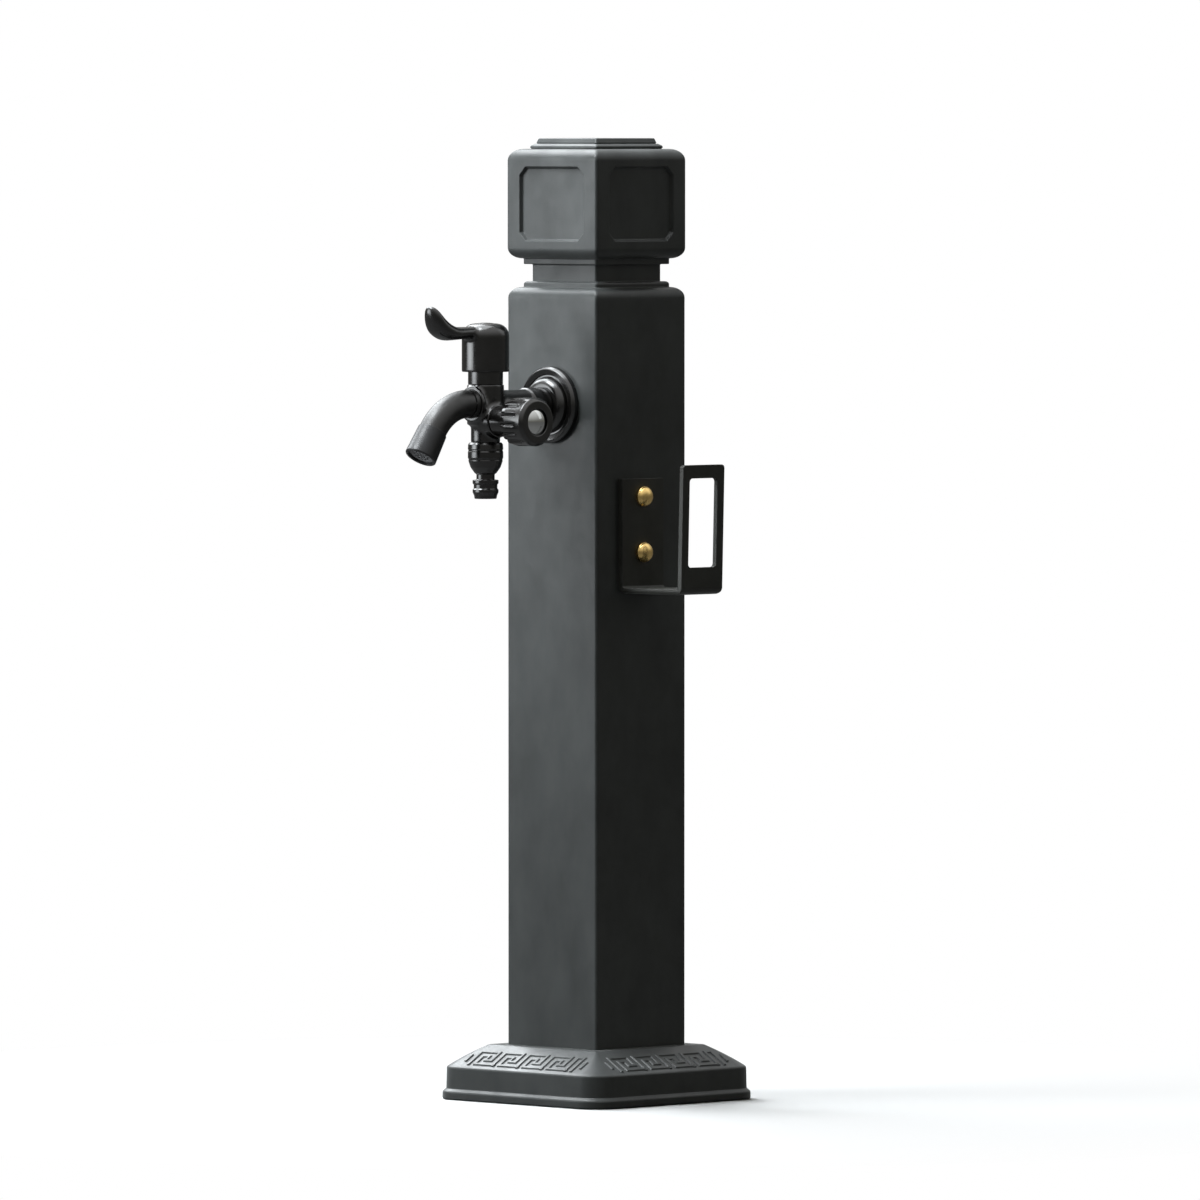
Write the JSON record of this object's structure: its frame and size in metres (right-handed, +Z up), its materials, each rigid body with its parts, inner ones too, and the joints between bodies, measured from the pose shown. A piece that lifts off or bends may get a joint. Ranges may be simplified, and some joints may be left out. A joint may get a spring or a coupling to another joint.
{
  "type": "garden standpipe",
  "caption": "Square garden standpipe post on a flared base, with a lever tap, a side outlet with a knob and nipple, and a hose hook.",
  "frame": {"origin": "on the ground, at the centre of the four anchor holes and of the post", "axes": "+Z up along the post, -Y the way the tap points, +X the way the side knob and the hose hook point"},
  "size_m": [0.2145, 0.2982, 0.76],
  "materials": {
    "post_paint": "satin powder coat",
    "zinc_steel": "zinc plated",
    "fitting_brass": "machined",
    "riser_plastic": "extruded",
    "seal_rubber": "moulded",
    "tap_black": "gloss black",
    "handle_black": "gloss black",
    "tip_black": "satin black",
    "straightener_grey": "moulded",
    "disc_ceramic": "lapped",
    "button_chrome": "polished",
    "hook_black": "semi-gloss powder coat",
    "nut_brass": "polished"
  },
  "bodies": {
    "standpipe": {"base_shoe": "post_paint", "post_tube": "post_paint", "column_head": "post_paint", "head_lid": "post_paint", "ground_plate": "zinc_steel", "post_spigot": "zinc_steel", "post_screws": "zinc_steel", "head_screws": "zinc_steel", "hook_bolts": "zinc_steel", "hook_washers": "zinc_steel", "inlet_adapter": "fitting_brass", "riser_elbow": "fitting_brass", "lock_nut": "fitting_brass", "valve_cartridge": "fitting_brass", "side_cartridge": "fitting_brass", "riser_pipe": "riser_plastic", "wall_gasket": "seal_rubber", "valve_seat_seal": "seal_rubber", "side_seat_seal": "seal_rubber", "nipple_washer": "seal_rubber", "wall_flange": "tap_black", "tap_body": "tap_black", "spout": "tap_black", "bonnet": "tap_black", "side_bonnet": "tap_black", "hose_nipple": "tap_black", "spout_tip": "tip_black", "flow_straightener": "straightener_grey", "fixed_disc": "disc_ceramic", "side_fixed_disc": "disc_ceramic", "hose_hook": "hook_black", "hook_cap_nuts": "nut_brass"},
    "lever": {"lever_handle": "handle_black", "handle_screw": "zinc_steel", "handle_plug": "handle_black", "valve_spindle": "fitting_brass", "moving_disc": "disc_ceramic"},
    "knob": {"side_knob": "handle_black", "knob_screw": "zinc_steel", "knob_button": "button_chrome", "side_spindle": "fitting_brass", "side_moving_disc": "disc_ceramic"}
  },
  "joints": [
    {"name": "lever_turn", "type": "hinge", "parent": "standpipe", "child": "lever", "pos_m": [0, -0.123, 0.6], "axis": [0, 0, 1], "range_deg": [0, 90]},
    {"name": "knob_turn", "type": "hinge", "parent": "standpipe", "child": "knob", "pos_m": [0.045, -0.123, 0.5385], "axis": [1, 0, 0], "range_deg": [0, 90]}
  ]
}
